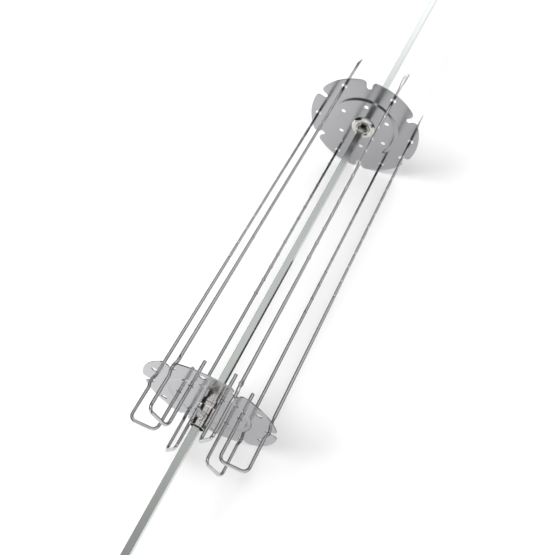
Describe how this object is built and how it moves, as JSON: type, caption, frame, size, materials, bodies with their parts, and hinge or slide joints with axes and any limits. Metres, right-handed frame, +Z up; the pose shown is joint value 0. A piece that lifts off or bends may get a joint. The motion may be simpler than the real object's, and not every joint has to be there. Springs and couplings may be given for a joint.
{
  "type": "rotisserie skewer set",
  "caption": "Rotisserie kebab set: a square pointed spit with two pierced, notched wheels clamped on it and a cage of nibbed wire skewers with loop handles.",
  "frame": {"origin": "on the surface that the set lies on, under the middle of the whole set", "axes": "+X along the spit, from its square drive end and the skewers' handles to their points; +Z up, towards the handle-side wheel's thumbscrew"},
  "size_m": [1.03, 0.16, 0.16],
  "materials": {
    "spit_steel": "satin",
    "wheel_sheet": "half bright, with soft reflections",
    "bright_hub": "bright plated",
    "bright_screw": "bright plated",
    "skewer_wire": "bright drawn wire"
  },
  "bodies": {
    "spit": {"spit": "spit_steel"},
    "near_wheel": {"near_disc": "wheel_sheet", "near_hub": "bright_hub", "near_hub_ring": "bright_hub", "near_screw_boss": "bright_hub"},
    "far_wheel": {"far_disc": "wheel_sheet", "far_hub": "bright_hub", "far_hub_ring": "bright_hub", "far_screw_boss": "bright_hub"},
    "near_thumbscrew": {"near_thumbscrew": "bright_screw"},
    "far_thumbscrew": {"far_thumbscrew": "bright_screw"},
    "skewer_1": {"skewer_1": "skewer_wire"},
    "skewer_2": {"skewer_2": "skewer_wire"},
    "skewer_3": {"skewer_3": "skewer_wire"},
    "skewer_4": {"skewer_4": "skewer_wire"},
    "skewer_5": {"skewer_5": "skewer_wire"},
    "skewer_6": {"skewer_6": "skewer_wire"}
  },
  "joints": [
    {"name": "near_wheel_slide", "type": "slide", "parent": "spit", "child": "near_wheel", "axis": [1, 0, 0], "range_m": [-0.02, 0.1]},
    {"name": "far_wheel_slide", "type": "slide", "parent": "spit", "child": "far_wheel", "axis": [1, 0, 0], "range_m": [-0.1, 0.035]},
    {"name": "near_thumbscrew_turn", "type": "hinge", "parent": "near_wheel", "child": "near_thumbscrew", "pos_m": [-0.3305, 0, 0.092], "axis": [0, 0, 1], "range_deg": [0, 360]},
    {"name": "far_thumbscrew_turn", "type": "hinge", "parent": "far_wheel", "child": "far_thumbscrew", "pos_m": [0.1605, -0.012, 0.08], "axis": [0, -1, 0], "range_deg": [0, 360]},
    {"name": "skewer_1_pull", "type": "slide", "parent": "near_wheel", "child": "skewer_1", "axis": [-1, 0, 0], "range_m": [0, 0.1]},
    {"name": "skewer_2_pull", "type": "slide", "parent": "near_wheel", "child": "skewer_2", "axis": [-1, 0, 0], "range_m": [0, 0.1]},
    {"name": "skewer_3_pull", "type": "slide", "parent": "near_wheel", "child": "skewer_3", "axis": [-1, 0, 0], "range_m": [0, 0.1]},
    {"name": "skewer_4_pull", "type": "slide", "parent": "near_wheel", "child": "skewer_4", "axis": [-1, 0, 0], "range_m": [0, 0.1]},
    {"name": "skewer_5_pull", "type": "slide", "parent": "near_wheel", "child": "skewer_5", "axis": [-1, 0, 0], "range_m": [0, 0.1]},
    {"name": "skewer_6_pull", "type": "slide", "parent": "near_wheel", "child": "skewer_6", "axis": [-1, 0, 0], "range_m": [0, 0.1]}
  ]
}
